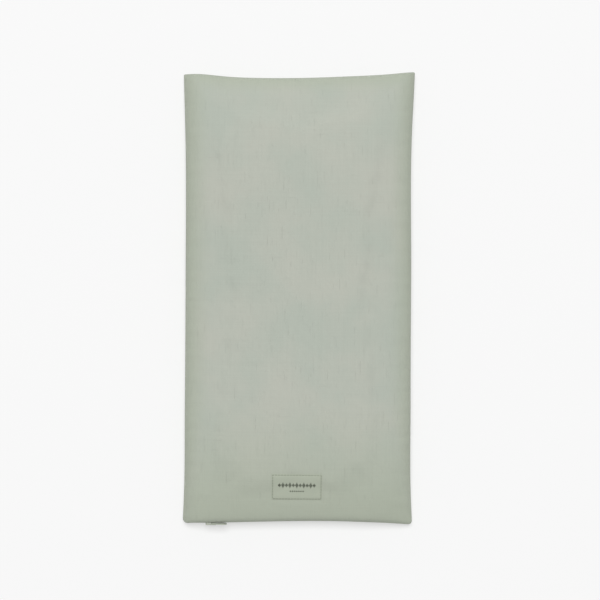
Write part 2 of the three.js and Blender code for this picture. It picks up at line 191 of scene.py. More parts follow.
# ---------------------------------------------------------------- the filled shape

def seam_level(x, y):
    return SEAM_HEIGHT - CORNER_DROOP * corner_share(x, y)[1]


def full(share, power):
    return np.maximum(0, 1 - np.minimum(1, share) ** power) ** EDGE_SOFTNESS


def run_in(x, y, half_x, half_y):
    """Distance in from the nearest edge, eased over the corners."""
    dx = np.maximum(half_x - np.abs(x), 1e-6)
    dy = np.maximum(half_y - np.abs(y), 1e-6)
    return dx * dy / (dx ** 4 + dy ** 4) ** 0.25


def zip_share(x, y):
    """1 where the folds are parted by the zip, 0 where they are sewn together."""
    left = smooth_step(x, ZIP_LEFT - 3, ZIP_LEFT + 1)
    right = 1 - smooth_step(x, ZIP_RIGHT - 1, ZIP_RIGHT + 3)
    return left * right * (1 - smooth_step(y, 14 - HALF_LENGTH, 24 - HALF_LENGTH))


def soft_floor(z, floor, ease=0.22):
    return floor + ease * np.logaddexp(0, (z - floor) / ease)


cover = SimpleNamespace(
    inset=0, floor=0.0, cloth=0.35, allowance=8, roll=2.2, corner_thinning=0.42,
    place=cover_place, half_x=HALF_WIDTH, half_y=HALF_LENGTH,
)
cover.crown = CROWN_TOP - SEAM_HEIGHT - CAD_GAP / 2 - cover.roll
BAG_INSET = SLIDER_BACK - ZIP_END_Y + 2 * AIR
bag = SimpleNamespace(
    inset=BAG_INSET, floor=cover.cloth + AIR, cloth=0.3, allowance=5, roll=1.2, corner_thinning=0,
    place=even_place, half_x=HALF_WIDTH - BAG_INSET, half_y=HALF_LENGTH - BAG_INSET,
)
bag.crown = cover.crown + cover.roll - cover.cloth - AIR - bag.roll


class Field:
    """A smooth height over the pouch, sampled from an even grid by cubic B-splines."""

    def __init__(self, values):
        self.values = np.pad(values, 2, mode="edge")
        self.rows, self.columns = values.shape

    @staticmethod
    def weights(t):
        return (
            (1 - t) ** 3 / 6,
            (3 * t ** 3 - 6 * t ** 2 + 4) / 6,
            (-3 * t ** 3 + 3 * t ** 2 + 3 * t + 1) / 6,
            t ** 3 / 6,
        )

    def at(self, x, y):
        u = (np.clip(x / HALF_WIDTH, -1, 1) + 1) / 2 * (self.columns - 1)
        v = (np.clip(y / HALF_LENGTH, -1, 1) + 1) / 2 * (self.rows - 1)
        i = np.minimum(u.astype(int), self.columns - 2)
        j = np.minimum(v.astype(int), self.rows - 2)
        total = 0
        for row, wv in enumerate(self.weights(v - j)):
            for column, wu in enumerate(self.weights(u - i)):
                total = total + wv * wu * self.values[j + row + 1, i + column + 1]
        return total


# What the cloth simulation adds to each side, filled in by simulate_cover()
slack = {1: Field(np.zeros((4, 4))), -1: Field(np.zeros((4, 4)))}


PUCKER = 0.2
PUCKER_REACH = 5.0  # how far in from the seam puckers fade
PUCKER_START = 0.9  # and how far in they begin


def gathers(x, y, run, side):
    """Small uneven puckers that run in from the seams."""
    along = np.where(HALF_WIDTH - np.abs(x) < HALF_LENGTH - np.abs(y), y, x)
    phase = side * 1.3 + np.sign(x) * 0.9 + np.sign(y) * 0.4
    wave = (
        np.sin(along * 0.61 + phase + 1.1 * np.sin(along * 0.083))
        + 0.7 * np.sin(along * 1.07 + 2.1 * phase + 0.9 * np.sin(along * 0.131))
        + 0.5 * np.sin(along * 0.29 + 3.3 * phase)
    )
    return wave * np.exp(-run / PUCKER_REACH) * (1 - np.exp(-run / PUCKER_START))


def face_point(shell, side, depth, x, y, run, lip=LIP):
    """A point of a panel's face: depth inside its outer face, and run in from that face's edge."""
    across = np.abs(x) / (shell.half_x - depth)
    along = np.abs(y) / (shell.half_y - depth)
    crown = shell.crown * full(across, SIDE_FULLNESS) * full(along, END_FULLNESS)
    _, corner = corner_share(x, y)
    roll = shell.roll * (1 - shell.corner_thinning * corner)
    rise = CAD_GAP / 2 + lip + (1 - np.exp(-run / ROLL_RUN)) * (roll - lip - depth + crown)
    closing = (CAD_GAP - SEWN_GAP) / 2 * (1 - zip_share(x, y)) * np.exp(-run / 3)
    rise = rise - closing
    waves = PUCKER * gathers(x, y, run, side) + slack[side].at(x, y)
    waves = waves * (1 - zip_share(x, y) * np.exp(-run / 9)) * (1 - np.exp(-run / 1.5))
    z = seam_level(x, y) + side * (rise + waves)
    if side < 0:
        z = soft_floor(z, shell.floor + depth)
    px, py = shell.place(x, y)
    return np.stack([px, py, z], axis=-1)


def face_at(shell, side, depth, x, y):
    """The same for a point given only by its place."""
    run = run_in(x, y, shell.half_x - depth, shell.half_y - depth)
    return face_point(shell, side, depth, x, y, run)


# ---------------------------------------------------------------- mesh helpers

def spaced(half, fine, coarse, growth=1.18):
    """Places from -half to half, close together at the edges and wider apart in the middle."""
    places, step = [0.0], fine
    while places[-1] + step < half * 0.5 and step < coarse:
        places.append(places[-1] + step)
        step *= growth
    middle = 2 * (half - places[-1])
    inner = np.linspace(-middle / 2, middle / 2, max(2, round(middle / coarse)) + 1)
    edge = np.array(places[:-1])
    return np.concatenate([edge - half, inner, (half - edge)[::-1]])


def grid_faces(rows, columns, start=0):
    j, i = np.meshgrid(np.arange(rows - 1), np.arange(columns - 1), indexing="ij")
    a = (start + j * columns + i).ravel()
    return np.stack([a, a + 1, a + columns + 1, a + columns], axis=1)


def grid_border(rows, columns):
    """A grid's border, counter-clockwise, as flat indices."""
    bottom = np.arange(columns - 1)
    right = columns - 1 + columns * np.arange(rows - 1)
    top = rows * columns - 1 - np.arange(columns - 1)
    left = (rows - 1 - np.arange(rows - 1)) * columns
    return np.concatenate([bottom, right, top, left])


def strip_faces(outer, inner):
    """Quads between two closed loops of vertices."""
    return np.stack([np.roll(outer, -1), outer, inner, np.roll(inner, -1)], axis=1)


def make_mesh(name, points, faces, cloth=None, sharp=None):
    mesh = bpy.data.meshes.new(name)
    mesh.from_pydata((np.asarray(points) * MM).tolist(), [], [list(map(int, f)) for f in faces])
    if cloth is not None:
        attribute = mesh.attributes.new("cloth", "FLOAT_VECTOR", "POINT")
        flat = np.zeros((len(points), 3), np.float32)
        flat[:, :2] = cloth
        attribute.data.foreach_set("vector", flat.ravel())
    mesh.validate()
    mesh.update()
    mesh.shade_smooth()
    if sharp is not None:
        mesh.set_sharp_from_angle(angle=math.radians(sharp))
    made = bpy.data.objects.new(name, mesh)
    bpy.context.scene.collection.objects.link(made)
    return made


def finish_piece(piece, material, nodes, body="pillow"):
    piece.data.materials.clear()
    piece.data.materials.append(material)
    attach(piece, body)
    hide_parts(*nodes)
    return piece


class Parts:
    """Collects many small closed shapes into one mesh."""

    def __init__(self):
        self.points, self.faces, self.cloth, self.count = [], [], [], 0

    def add(self, points, faces, cloth=None):
        self.points.append(points)
        self.faces.extend(np.asarray(f) + self.count for f in faces)
        self.cloth.append(np.zeros((len(points), 2)) if cloth is None else cloth)
        self.count += len(points)

    def mesh(self, name, sharp=None):
        return make_mesh(name, np.concatenate(self.points), self.faces, np.concatenate(self.cloth), sharp)


def tube(path, radii, sides, up):
    """A closed tube along path, with a radius at each of its points and flat ends.

    up is roughly the direction of its section's top.
    """
    path = np.asarray(path, float)
    radii = np.broadcast_to(np.asarray(radii, float), (len(path),))
    tangent = np.gradient(path, axis=0)
    tangent /= np.linalg.norm(tangent, axis=1, keepdims=True)
    across = np.cross(tangent, np.broadcast_to(np.asarray(up, float), tangent.shape))
    across /= np.linalg.norm(across, axis=1, keepdims=True)
    top = np.cross(across, tangent)
    turn = np.linspace(0, 2 * math.pi, sides, endpoint=False)
    ring = np.cos(turn)[:, None] * across[:, None] + np.sin(turn)[:, None] * top[:, None]
    points = (path[:, None] + radii[:, None, None] * ring).reshape(-1, 3)
    i = np.arange(len(path) - 1)[:, None] * sides
    k = np.arange(sides)[None]
    after = (k + 1) % sides
    faces = np.stack([i + k, i + sides + k, i + sides + after, i + after], axis=-1).reshape(-1, 4)
    first = np.arange(sides)
    last = len(path) * sides - 1 - np.arange(sides)
    length = np.concatenate([[0], np.cumsum(np.linalg.norm(np.diff(path, axis=0), axis=1))])
    cloth = np.stack([np.repeat(length, sides), np.tile(turn, len(path))], axis=1)
    return points, [*faces, first, last], cloth


def along_path(path, pitch):
    """Even steps along a polyline: a function of length, and the length itself."""
    path = np.asarray(path, float)
    length = np.concatenate([[0], np.cumsum(np.linalg.norm(np.diff(path, axis=0), axis=1))])

    def at(s):
        return np.stack([np.interp(s, length, path[:, k]) for k in range(3)], axis=-1)

    return at, length[-1], max(1, round(length[-1] / pitch))


def stitches(path, pitch, bare, radius, normal, sink, sides=6):
    """A row of separate stitches lying along path, each arched and drawn in at its ends."""
    at, total, count = along_path(path, pitch)
    row = Parts()
    step = total / count
    share = np.linspace(0, 1, 8)
    swell = radius * np.sqrt(np.clip(1 - (2 * share - 1) ** 6, 0.05, 1))
    arch = -sink * (2 * share - 1) ** 4
    for k in range(count):
        centre = at(k * step + bare / 2 + share * (step - bare))
        up = np.asarray(normal(centre), float)
        row.add(*tube(centre + arch[:, None] * up, swell, sides, up[0]))
    return row


# ---------------------------------------------------------------- cloth simulation

SIM_COLUMNS, SIM_ROWS, SIM_FRAMES = 49, 97, 20
MOST_SLACK = 0.7


def simulate_cover():
    """Blows the pouch up as cloth cut a little too large, and keeps how far its two faces moved."""
    xs = np.linspace(-HALF_WIDTH, HALF_WIDTH, SIM_COLUMNS)
    ys = np.linspace(-HALF_LENGTH, HALF_LENGTH, SIM_ROWS)
    x, y = np.meshgrid(xs, ys)
    front = face_at(cover, 1, 0, x, y).reshape(-1, 3)
    back = face_at(cover, -1, 0, x, y).reshape(-1, 3)
    unevenness = np.random.RandomState(11).normal(0, 0.05, (2, len(front)))
    border = grid_border(SIM_ROWS, SIM_COLUMNS)
    seam = np.zeros(len(front), bool)
    seam[border] = True
    front[border, 2] = back[border, 2] = seam_level(x, y).ravel()[border]
    front[:, 2] += unevenness[0] * ~seam
    back[:, 2] += unevenness[1] * ~seam

    own = np.flatnonzero(~seam)
    number = np.arange(len(front))
    number[own] = len(front) + np.arange(len(own))
    points = np.concatenate([front, back[own]])
    quads = grid_faces(SIM_ROWS, SIM_COLUMNS)
    pouch = make_mesh("simulated_pouch", points, np.concatenate([quads, number[quads][:, ::-1]]))
    group = pouch.vertex_groups.new(name="sewn")
    group.add(border.tolist(), 1.0, "REPLACE")

    modifier = pouch.modifiers.new("cloth", "CLOTH")
    settings = modifier.settings
    settings.quality = 6
    settings.mass = 0.1
    settings.tension_stiffness = settings.compression_stiffness = 12
    settings.shear_stiffness = 4
    settings.bending_stiffness = 0.05
    settings.shrink_min = settings.shrink_max = -0.012
    settings.use_pressure = True
    settings.uniform_pressure_force = 4
    settings.effector_weights.gravity = 0
    settings.vertex_group_mass = "sewn"
    modifier.collision_settings.use_collision = False
    modifier.point_cache.frame_start = 1
    modifier.point_cache.frame_end = SIM_FRAMES
    scene = bpy.context.scene
    for number_of_frame in range(1, SIM_FRAMES + 1):
        scene.frame_set(number_of_frame)
    moved = np.empty(len(points) * 3, np.float32)
    pouch.evaluated_get(bpy.context.evaluated_depsgraph_get()).data.vertices.foreach_get("co", moved)
    moved = moved.reshape(-1, 3) / MM
    scene.frame_set(1)
    bpy.data.objects.remove(pouch)

    lift = moved[:, 2] - points[:, 2]
    lift_front = lift[: len(front)] + unevenness[0] * ~seam
    lift_back = np.zeros(len(front))
    lift_back[own] = -lift[len(front):] - unevenness[1][own]
    for side, field in ((1, lift_front), (-1, lift_back)):
        grid = field.reshape(SIM_ROWS, SIM_COLUMNS)
        grid = grid - np.median(grid)
        slack[side] = Field(np.clip(grid, -MOST_SLACK, MOST_SLACK))


# ---------------------------------------------------------------- cloth pieces

def flat_coordinates(points, rows, columns):
    """Thread coordinates of a grid of cloth: lengths measured along it from its middle lines."""
    grid = points.reshape(rows, columns, 3)
    across = np.linalg.norm(np.diff(grid, axis=1), axis=2)
    along = np.linalg.norm(np.diff(grid, axis=0), axis=2)
    u = np.concatenate([np.zeros((rows, 1)), np.cumsum(across, axis=1)], 1)
    v = np.concatenate([np.zeros((1, columns)), np.cumsum(along, axis=0)], 0)
    u -= u[:, columns // 2][:, None]
    v -= v[rows // 2][None]
    return np.stack([u.ravel(), v.ravel()], axis=1)


def panel(name, shell, side, fine, coarse, hem=None):
    """One panel of a turned bag: its dome, the fold along the seam and the allowance behind the dome."""
    xs, ys = spaced(shell.half_x, fine, coarse), spaced(shell.half_y, fine, coarse)
    x, y = np.meshgrid(xs, ys)
    x, y = x.ravel(), y.ravel()
    rows, columns = len(ys), len(xs)
    run = run_in(x, y, shell.half_x, shell.half_y)
    run[grid_border(rows, columns)] = 0
    border = grid_border(rows, columns)
    bx, by = x[border], y[border]
    inside, turn_outer = shell.cloth, shell.cloth + AIR
    turn_inner = 2 * shell.cloth + AIR

    def drawn_in(px, py, by_how_much):
        return px * (1 - by_how_much / shell.half_x), py * (1 - by_how_much / shell.half_y)

    def skin(depth):
        px, py = drawn_in(x, y, depth)
        made = face_point(shell, side, depth, px, py, run)
        if hem is not None:
            made[:, 2] -= hem(made[:, 0], made[:, 1])
        return made

    def ring(depth, ring_run):
        px, py = drawn_in(bx, by, depth + ring_run)
        return face_point(shell, side, depth, px, py, ring_run)

    def fold(depth, height):
        px, py = drawn_in(bx, by, depth)
        closing = (CAD_GAP - SEWN_GAP) / 2 * (1 - zip_share(px, py))
        z = seam_level(px, py) + side * (CAD_GAP / 2 + height - closing)
        ex, ey = shell.place(px, py)
        return np.stack([ex, ey, z], axis=-1)

    runs = [r for r in (0.6, 1.8, 3.2, 5) if r < shell.allowance - 0.8]
    runs += [shell.allowance - 0.4, shell.allowance]
    loops = [
        fold(0.06, LIP * 0.45),
        fold(0.2, LIP * 0.1),
        fold(0.45, 0),
        fold(turn_inner - 0.15, 0),
        fold(turn_inner, 0.12),
        *[ring(turn_inner, r) for r in runs],
        *[ring(turn_outer, r) for r in reversed(runs)],
        fold(turn_outer, shell.cloth),
        fold(inside + 0.05, shell.cloth),
    ]
    outer, inner = skin(0), skin(inside)
    points = np.concatenate([outer, inner, *loops])
    flat = flat_coordinates(outer, rows, columns)
    outward = np.stack([np.abs(bx) >= shell.half_x - 1e-6, np.abs(by) >= shell.half_y - 1e-6], 1)
    outward = outward * np.sign(np.stack([bx, by], 1))
    cloth = [flat, flat]
    previous, reach = outer[border], 0
    for loop in loops:
        reach = reach + np.linalg.norm(loop - previous, axis=1)
        cloth.append(flat[border] + outward * reach[:, None])
        previous = loop

    count, around = rows * columns, len(border)
    quads = grid_faces(rows, columns)
    rings = [border, *[2 * count + k * around + np.arange(around) for k in range(len(loops))], border + count]
    faces = [quads, quads[:, ::-1] + count, *[strip_faces(a, b) for a, b in zip(rings, rings[1:])]]
    faces = np.concatenate(faces)
    return make_mesh(name, points, faces if side > 0 else faces[:, ::-1], np.concatenate(cloth))


def seam_path(shell, depth, start, stop, step=0.8):
    """The seam's line, depth inside the folds, counter-clockwise from one border place to another."""
    corners = [(-1, -1), (1, -1), (1, 1), (-1, 1)] * 2 + [(-1, -1)]
    px, py = [], []
    for (ax, ay), (cx, cy) in zip(corners, corners[1:]):
        n = round(2 * (shell.half_x if ax != cx else shell.half_y) / step)
        t = np.linspace(0, 1, n, endpoint=False)
        px.extend((ax + (cx - ax) * t) * (shell.half_x - depth))
        py.extend((ay + (cy - ay) * t) * (shell.half_y - depth))
    px, py = np.array(px), np.array(py)
    first = np.argmin(np.hypot(px - start[0], py - start[1]))
    last = first + np.argmin(np.hypot(px[first:] - stop[0], py[first:] - stop[1]))
    px, py = px[first:last + 1], py[first:last + 1]
    ex, ey = shell.place(px, py)
    return np.stack([ex, ey, seam_level(px, py)], axis=1)


def outward_from(shell):
    """A function for the direction roughly straight out of a shell's seam, level with it."""
    def outward(points):
        sides = np.abs(points[:, 0]) - shell.half_x
        ends = np.abs(points[:, 1]) - shell.half_y
        out = np.zeros_like(points)
        out[:, 0] = np.where(sides > ends - 2, np.sign(points[:, 0]), 0)
        out[:, 1] = np.where(ends > sides - 2, np.sign(points[:, 1]), 0)
        return out / np.linalg.norm(out, axis=1, keepdims=True)

    return outward


# ---------------------------------------------------------------- materials

def linear(r, g, b):
    """An 8-bit sRGB colour as Blender's linear one."""
    shares = [c / 255 for c in (r, g, b)]
    return (*[s / 12.92 if s <= 0.04045 else ((s + 0.055) / 1.055) ** 2.4 for s in shares], 1)


class Look:
    """A material with its nodes, built from small named steps."""

    def __init__(self, name, roughness, **constants):
        self.material = bpy.data.materials.new(name)
        self.material.use_nodes = True
        self.tree = self.material.node_tree
        self.shader = self.tree.nodes["Principled BSDF"]
        self.shader.inputs["Roughness"].default_value = roughness
        for socket, value in constants.items():
            self.shader.inputs[socket.replace("_", " ")].default_value = value

    def node(self, kind, settings=None, **inputs):
        made = self.tree.nodes.new(kind)
        for key, value in (settings or {}).items():
            setattr(made, key, value)
        for key, value in inputs.items():
            socket = made.inputs[key.replace("_", " ")]
            if isinstance(value, bpy.types.NodeSocket):
                self.tree.links.new(value, socket)
            else:
                socket.default_value = value
        return made

    def math(self, operation, a, b=0.0, c=0.0):
        made = self.tree.nodes.new("ShaderNodeMath")
        made.operation = operation
        for socket, value in zip(made.inputs, (a, b, c)):
            if isinstance(value, bpy.types.NodeSocket):
                self.tree.links.new(value, socket)
            else:
                socket.default_value = value
        return made.outputs[0]

    def remap(self, value, low, high, to_low=0.0, to_high=1.0):
        made = self.node("ShaderNodeMapRange", {"interpolation_type": "SMOOTHSTEP"}, Value=value)
        for socket, number in zip(("From Min", "From Max", "To Min", "To Max"), (low, high, to_low, to_high)):
            made.inputs[socket].default_value = number
        return made.outputs["Result"]

    def threads(self):
        """The piece's flat thread coordinates in millimetres, across and along."""
        cloth = self.node("ShaderNodeAttribute", {"attribute_name": "cloth"}).outputs["Vector"]
        apart = self.node("ShaderNodeSeparateXYZ", Vector=cloth)
        return cloth, apart.outputs["X"], apart.outputs["Y"]

    def place(self):
        return self.node("ShaderNodeTexCoord").outputs["Object"]

    def noise(self, vector, scale, detail=2.0, stretch=(1, 1, 1), roughness=0.5):
        scaled = self.node("ShaderNodeVectorMath", {"operation": "MULTIPLY"})
        self.tree.links.new(vector, scaled.inputs[0])
        scaled.inputs[1].default_value = [scale * s for s in stretch]
        made = self.node("ShaderNodeTexNoise", Vector=scaled.outputs[0], Scale=1.0, Detail=detail)
        made.inputs["Roughness"].default_value = roughness
        return made.outputs["Fac"]

    def blend(self, share, a, b):
        made = self.node("ShaderNodeMix", {"data_type": "RGBA"})
        for socket, value in ((made.inputs[0], share), (made.inputs[6], a), (made.inputs[7], b)):
            if isinstance(value, bpy.types.NodeSocket):
                self.tree.links.new(value, socket)
            else:
                socket.default_value = value
        return made.outputs[2]

    def shade(self, colour, brightness):
        """colour made lighter or darker by a factor."""
        made = self.node("ShaderNodeVectorMath", {"operation": "SCALE"})
        self.tree.links.new(colour, made.inputs[0])
        if isinstance(brightness, bpy.types.NodeSocket):
            self.tree.links.new(brightness, made.inputs["Scale"])
        else:
            made.inputs["Scale"].default_value = brightness
        return made.outputs[0]

    def weave(self, x, y, pitch_x, pitch_y):
        """Height of a plain weave, 0 between threads and 1 on top of one."""
        a = self.math("SINE", self.math("MULTIPLY", x, math.pi / pitch_x))
        b = self.math("SINE", self.math("MULTIPLY", y, math.pi / pitch_y))
        over = self.math("MULTIPLY", a, b)
        warp = self.math("MULTIPLY", self.math("ABSOLUTE", a), self.math("MULTIPLY_ADD", over, 0.5, 0.5))
        weft = self.math("MULTIPLY", self.math("ABSOLUTE", b), self.math("MULTIPLY_ADD", over, -0.5, 0.5))
        return self.math("MAXIMUM", warp, weft)

    def bump(self, height, depth, strength=1.0):
        made = self.node("ShaderNodeBump", Height=height, Strength=strength, Distance=depth * MM)
        self.tree.links.new(made.outputs[0], self.shader.inputs["Normal"])

    def colour(self, value):
        self.tree.links.new(value, self.shader.inputs["Base Color"])


# How far in the painted shade reaches, darkening the cover's cloth towards its seams:
SIDE_SHADE_RIM = 15  # how wide the painted edge shade is along the sides,
ZIPPED_SHADE_RIM = 70  # at the zipped end
PLAIN_SHADE_RIM = 12  # and at the plain end


def painted_seam_shade(look, x, y):
    """Where painted shade darkens and yellows the cloth: 1 in the cloth that wraps the seams, easing over a
    rim that is widest at the zipped end, and 0 in the open panel.
    """
    sides = look.remap(look.math("ABSOLUTE", x), HALF_WIDTH - SIDE_SHADE_RIM, HALF_WIDTH + 1)
    zipped = look.remap(look.math("MULTIPLY", y, -1.0), HALF_LENGTH - ZIPPED_SHADE_RIM, HALF_LENGTH)
    plain_end = look.remap(y, HALF_LENGTH - PLAIN_SHADE_RIM, HALF_LENGTH + 1)
    return look.math("MAXIMUM", sides, look.math("MAXIMUM", zipped, plain_end))


def woven(name, light, dark, pitch, slub=1.0, sheen=0.12, depth=0.09, roughness=0.88, edge=None):
    """Plain-woven cloth with uneven yarn: long thin slubs along Y, shorter ones across, and soft patches."""
    look = Look(name, roughness, Sheen_Weight=sheen, Sheen_Roughness=0.45, Specular_IOR_Level=0.18)
    cloth, x, y = look.threads()
    drift = look.math("MULTIPLY", look.math("SUBTRACT", look.noise(cloth, 0.22), 0.5), 0.9)
    x = look.math("ADD", x, drift)
    y = look.math("ADD", y, drift)
    height = look.weave(x, y, pitch, pitch * 1.08)
    warp_slub = look.remap(look.noise(cloth, 1, 2, (1.6, 0.075, 1)), 0.62, 0.74)
    thin_place = look.remap(look.noise(cloth, 1, 2, (1.9, 0.1, 1.7)), 0.36, 0.27)
    weft_slub = look.remap(look.noise(cloth, 1, 2, (0.06, 1.5, 1)), 0.66, 0.76)
    fuzz = look.noise(cloth, 2.4, 4, roughness=0.7)
    patches = look.noise(cloth, 0.027, 3)
    yarn = look.math("ADD", look.noise(cloth, 1, 1, (2.6, 0.02, 1)), look.noise(cloth, 1, 1, (0.02, 2.4, 1)))

    # Painted shade of the weave: the colour is lighter on top of the threads and darker between them. The
    # fuzz, yarn and slub terms are the yarn's own uneven tone.
    shade = look.math("MULTIPLY_ADD", height, 0.10, 0.925)
    shade = look.math("MULTIPLY_ADD", look.math("SUBTRACT", fuzz, 0.5), 0.07, shade)
    shade = look.math("MULTIPLY_ADD", look.math("SUBTRACT", yarn, 1.0), 0.06, shade)
    shade = look.math("MULTIPLY_ADD", warp_slub, 0.035 * slub, shade)
    shade = look.math("MULTIPLY_ADD", thin_place, -0.045 * slub, shade)
    shade = look.math("MULTIPLY_ADD", weft_slub, 0.02 * slub, shade)
    base = look.blend(look.remap(patches, 0.32, 0.68), light, dark)
    # edge is the colour of the painted shade: the cloth turns darker and yellower towards the seams and over
    # the zipped end.
    if edge is not None:
        base = look.blend(painted_seam_shade(look, x, y), base, edge)
    look.colour(look.shade(base, shade))

    raised = look.math("MULTIPLY_ADD", warp_slub, 0.9 * slub, height)
    raised = look.math("MULTIPLY_ADD", weft_slub, 0.5 * slub, raised)
    raised = look.math("MULTIPLY_ADD", fuzz, 0.5, raised)
    look.bump(raised, depth)
    return look.material


def twisted(name, colour, strands=2.4, roughness=0.6):
    """Sewing thread: plies that wind round it."""
    look = Look(name, roughness, Sheen_Weight=0.15, Specular_IOR_Level=0.3)
    cloth, along, turn = look.threads()
    twist = look.math("MULTIPLY", along, 9.0)
    winding = look.math("SINE", look.math("ADD", twist, look.math("MULTIPLY", turn, 2.0)))
    fuzz = look.noise(look.place(), 6000, 3)
    # Painted shade of the plies: the colour is lighter on them and darker in the grooves where they wind. The
    # fuzz term is the thread's own uneven tone.
    shade = look.math("MULTIPLY_ADD", winding, 0.08, 0.94)
    shade = look.math("MULTIPLY_ADD", look.math("SUBTRACT", fuzz, 0.5), 0.12, shade)
    look.colour(look.shade(look.blend(fuzz, colour, colour), shade))
    look.bump(winding, 0.03)
    return look.material


def label_cloth(name, light, dark):
    """Tight woven label: fine ribs across it."""
    look = Look(name, 0.72, Sheen_Weight=0.1, Specular_IOR_Level=0.25)
    cloth, x, y = look.threads()
    ribs = look.math("ABSOLUTE", look.math("SINE", look.math("MULTIPLY", y, math.pi / 0.22)))
    picks = look.weave(x, y, 0.24, 0.22)
    fuzz = look.noise(cloth, 3.0, 3)
    patches = look.noise(cloth, 0.16, 2)
    # Painted shade of the weave: the colour is lighter on the picks and darker between them. The fuzz term is
    # the yarn's own tone.
    shade = look.math("MULTIPLY_ADD", picks, 0.09, 0.93)
    shade = look.math("MULTIPLY_ADD", look.math("SUBTRACT", fuzz, 0.5), 0.08, shade)
    look.colour(look.shade(look.blend(patches, light, dark), shade))
    look.bump(look.math("ADD", picks, look.math("MULTIPLY", ribs, 0.4)), 0.05)
    return look.material


def satin(name, light, dark):
    look = Look(name, 0.38, Sheen_Weight=0.1, Specular_IOR_Level=0.5)
    cloth, x, y = look.threads()
    floats = look.math("ABSOLUTE", look.math("SINE", look.math("MULTIPLY", x, math.pi / 0.14)))
    cross = look.noise(cloth, 1, 2, (0.4, 6, 1))
    # Painted shade of the floats: the colour is lighter on them and darker between them.
    shade = look.math("MULTIPLY_ADD", floats, 0.05, 0.95)
    look.colour(look.shade(look.blend(cross, light, dark), shade))
    look.bump(look.math("ADD", floats, cross), 0.02)
    return look.material


def herringbone(name, light, dark):
    """Zip tape: ribs that slant one way and then the other."""
    look = Look(name, 0.8, Sheen_Weight=0.12, Specular_IOR_Level=0.2)
    cloth, x, y = look.threads()
    zigzag = look.math("PINGPONG", y, 1.0)
    ribs = look.math("SINE", look.math("MULTIPLY", look.math("ADD", x, zigzag), 2 * math.pi / 0.42))
    fuzz = look.noise(cloth, 3.0, 3)
    # Painted shade of the ribs: the colour is lighter on their tops and darker between them. The fuzz term is
    # the yarn's own tone.
    shade = look.math("MULTIPLY_ADD", ribs, 0.05, 0.95)
    shade = look.math("MULTIPLY_ADD", look.math("SUBTRACT", fuzz, 0.5), 0.12, shade)
    look.colour(look.shade(look.blend(fuzz, light, dark), shade))
    look.bump(ribs, 0.06)
    return look.material


def moulded(name, colour, worn, roughness, metallic=0.0, coat=0.0):
    """Nylon or enamel: slight unevenness, and lighter wear along its edges."""
    look = Look(name, roughness, Metallic=metallic, Coat_Weight=coat, Coat_Roughness=0.2)
    place = look.place()
    haze = look.noise(place, 900, 4)
    speck = look.noise(place, 5200, 3)
    edges = look.remap(look.node("ShaderNodeNewGeometry").outputs["Pointiness"], 0.53, 0.62)
    wear = look.math("MULTIPLY", edges, look.remap(speck, 0.4, 0.65))
    base = look.blend(wear, colour, worn)
    look.colour(look.shade(base, look.math("MULTIPLY_ADD", haze, 0.16, 0.92)))
    rough = look.math("MULTIPLY_ADD", haze, 0.16, roughness - 0.08)
    look.tree.links.new(rough, look.shader.inputs["Roughness"])
    look.bump(look.math("ADD", haze, speck), 0.012)
    return look.material


def seeds_look(name, light, dark):
    """Flaxseed: glossy brown, each seed its own shade."""
    look = Look(name, 0.36, Specular_IOR_Level=0.5, Coat_Weight=0.25, Coat_Roughness=0.25)
    place = look.place()
    cells = look.node("ShaderNodeTexVoronoi", {"feature": "F1"}, Vector=place, Scale=330.0)
    tint = look.node("ShaderNodeSeparateXYZ", Vector=cells.outputs["Color"]).outputs["X"]
    shade = look.math("MULTIPLY_ADD", look.noise(place, 2600, 3), 0.3, 0.85)
    look.colour(look.shade(look.blend(tint, light, dark), shade))
    look.bump(look.noise(place, 4200, 3), 0.02)
    return look.material


SAGE_LIGHT = linear(187, 190, 179)
SAGE_DARK = linear(180, 187, 176)
# Painted shade: the darker, yellower colour the cover's cloth takes towards its seams and its zipped end.
SAGE_PAINTED_SHADE = linear(177, 184, 168)
sage_cotton = woven("sage_cotton", SAGE_LIGHT, SAGE_DARK, 0.40, edge=SAGE_PAINTED_SHADE)
sage_thread = twisted("sage_thread", linear(150, 158, 143))
# Darker than the label: partly the thread's own colour and partly painted shade, standing in for the dark
# line where the label's edge meets the cover.
label_thread = twisted("label_thread", linear(134, 141, 123))
mark_thread = twisted("mark_thread", linear(84, 90, 76))
label_weave = label_cloth("label_weave", linear(182, 188, 171), linear(176, 184, 167))
care_satin = satin("care_satin", linear(236, 234, 226), linear(226, 224, 214))
zip_tape = herringbone("zip_tape", linear(160, 168, 152), linear(146, 155, 140))
zip_nylon = moulded("zip_nylon", linear(150, 158, 142), linear(176, 182, 168), 0.42)
slider_enamel = moulded("slider_enamel", linear(164, 171, 156), linear(186, 188, 176), 0.5, 0.0, 0.12)
calico = woven("calico", linear(232, 222, 198), linear(224, 212, 186), 0.55, slub=1.6, sheen=0.08)
calico_thread = twisted("calico_thread", linear(236, 230, 212))
flaxseed = seeds_look("flaxseed", linear(150, 92, 48), linear(104, 58, 28))


# ---------------------------------------------------------------- the cover

label_box = box_mm("front_label")
LABEL_MIDDLE = (label_box[0] + label_box[1])[:2] / 2
LABEL_HALF = (label_box[1] - label_box[0])[:2] / 2
LABEL_TILT = math.radians(-0.7)


def label_to_pillow(u, v):
    """From the label's own middle to the pillow's frame."""
    x = LABEL_MIDDLE[0] + u * math.cos(LABEL_TILT) - v * math.sin(LABEL_TILT)
    y = LABEL_MIDDLE[1] + u * math.sin(LABEL_TILT) + v * math.cos(LABEL_TILT)
    return x, y


def label_dent(x, y):
    """The cover gives a little under the label's stitched edge."""
    du, dv = x - LABEL_MIDDLE[0], y - LABEL_MIDDLE[1]
    out = np.maximum(np.abs(du) - LABEL_HALF[0], np.abs(dv) - LABEL_HALF[1])
    return 0.16 * np.exp(-(out / 0.9) ** 2)


simulate_cover()

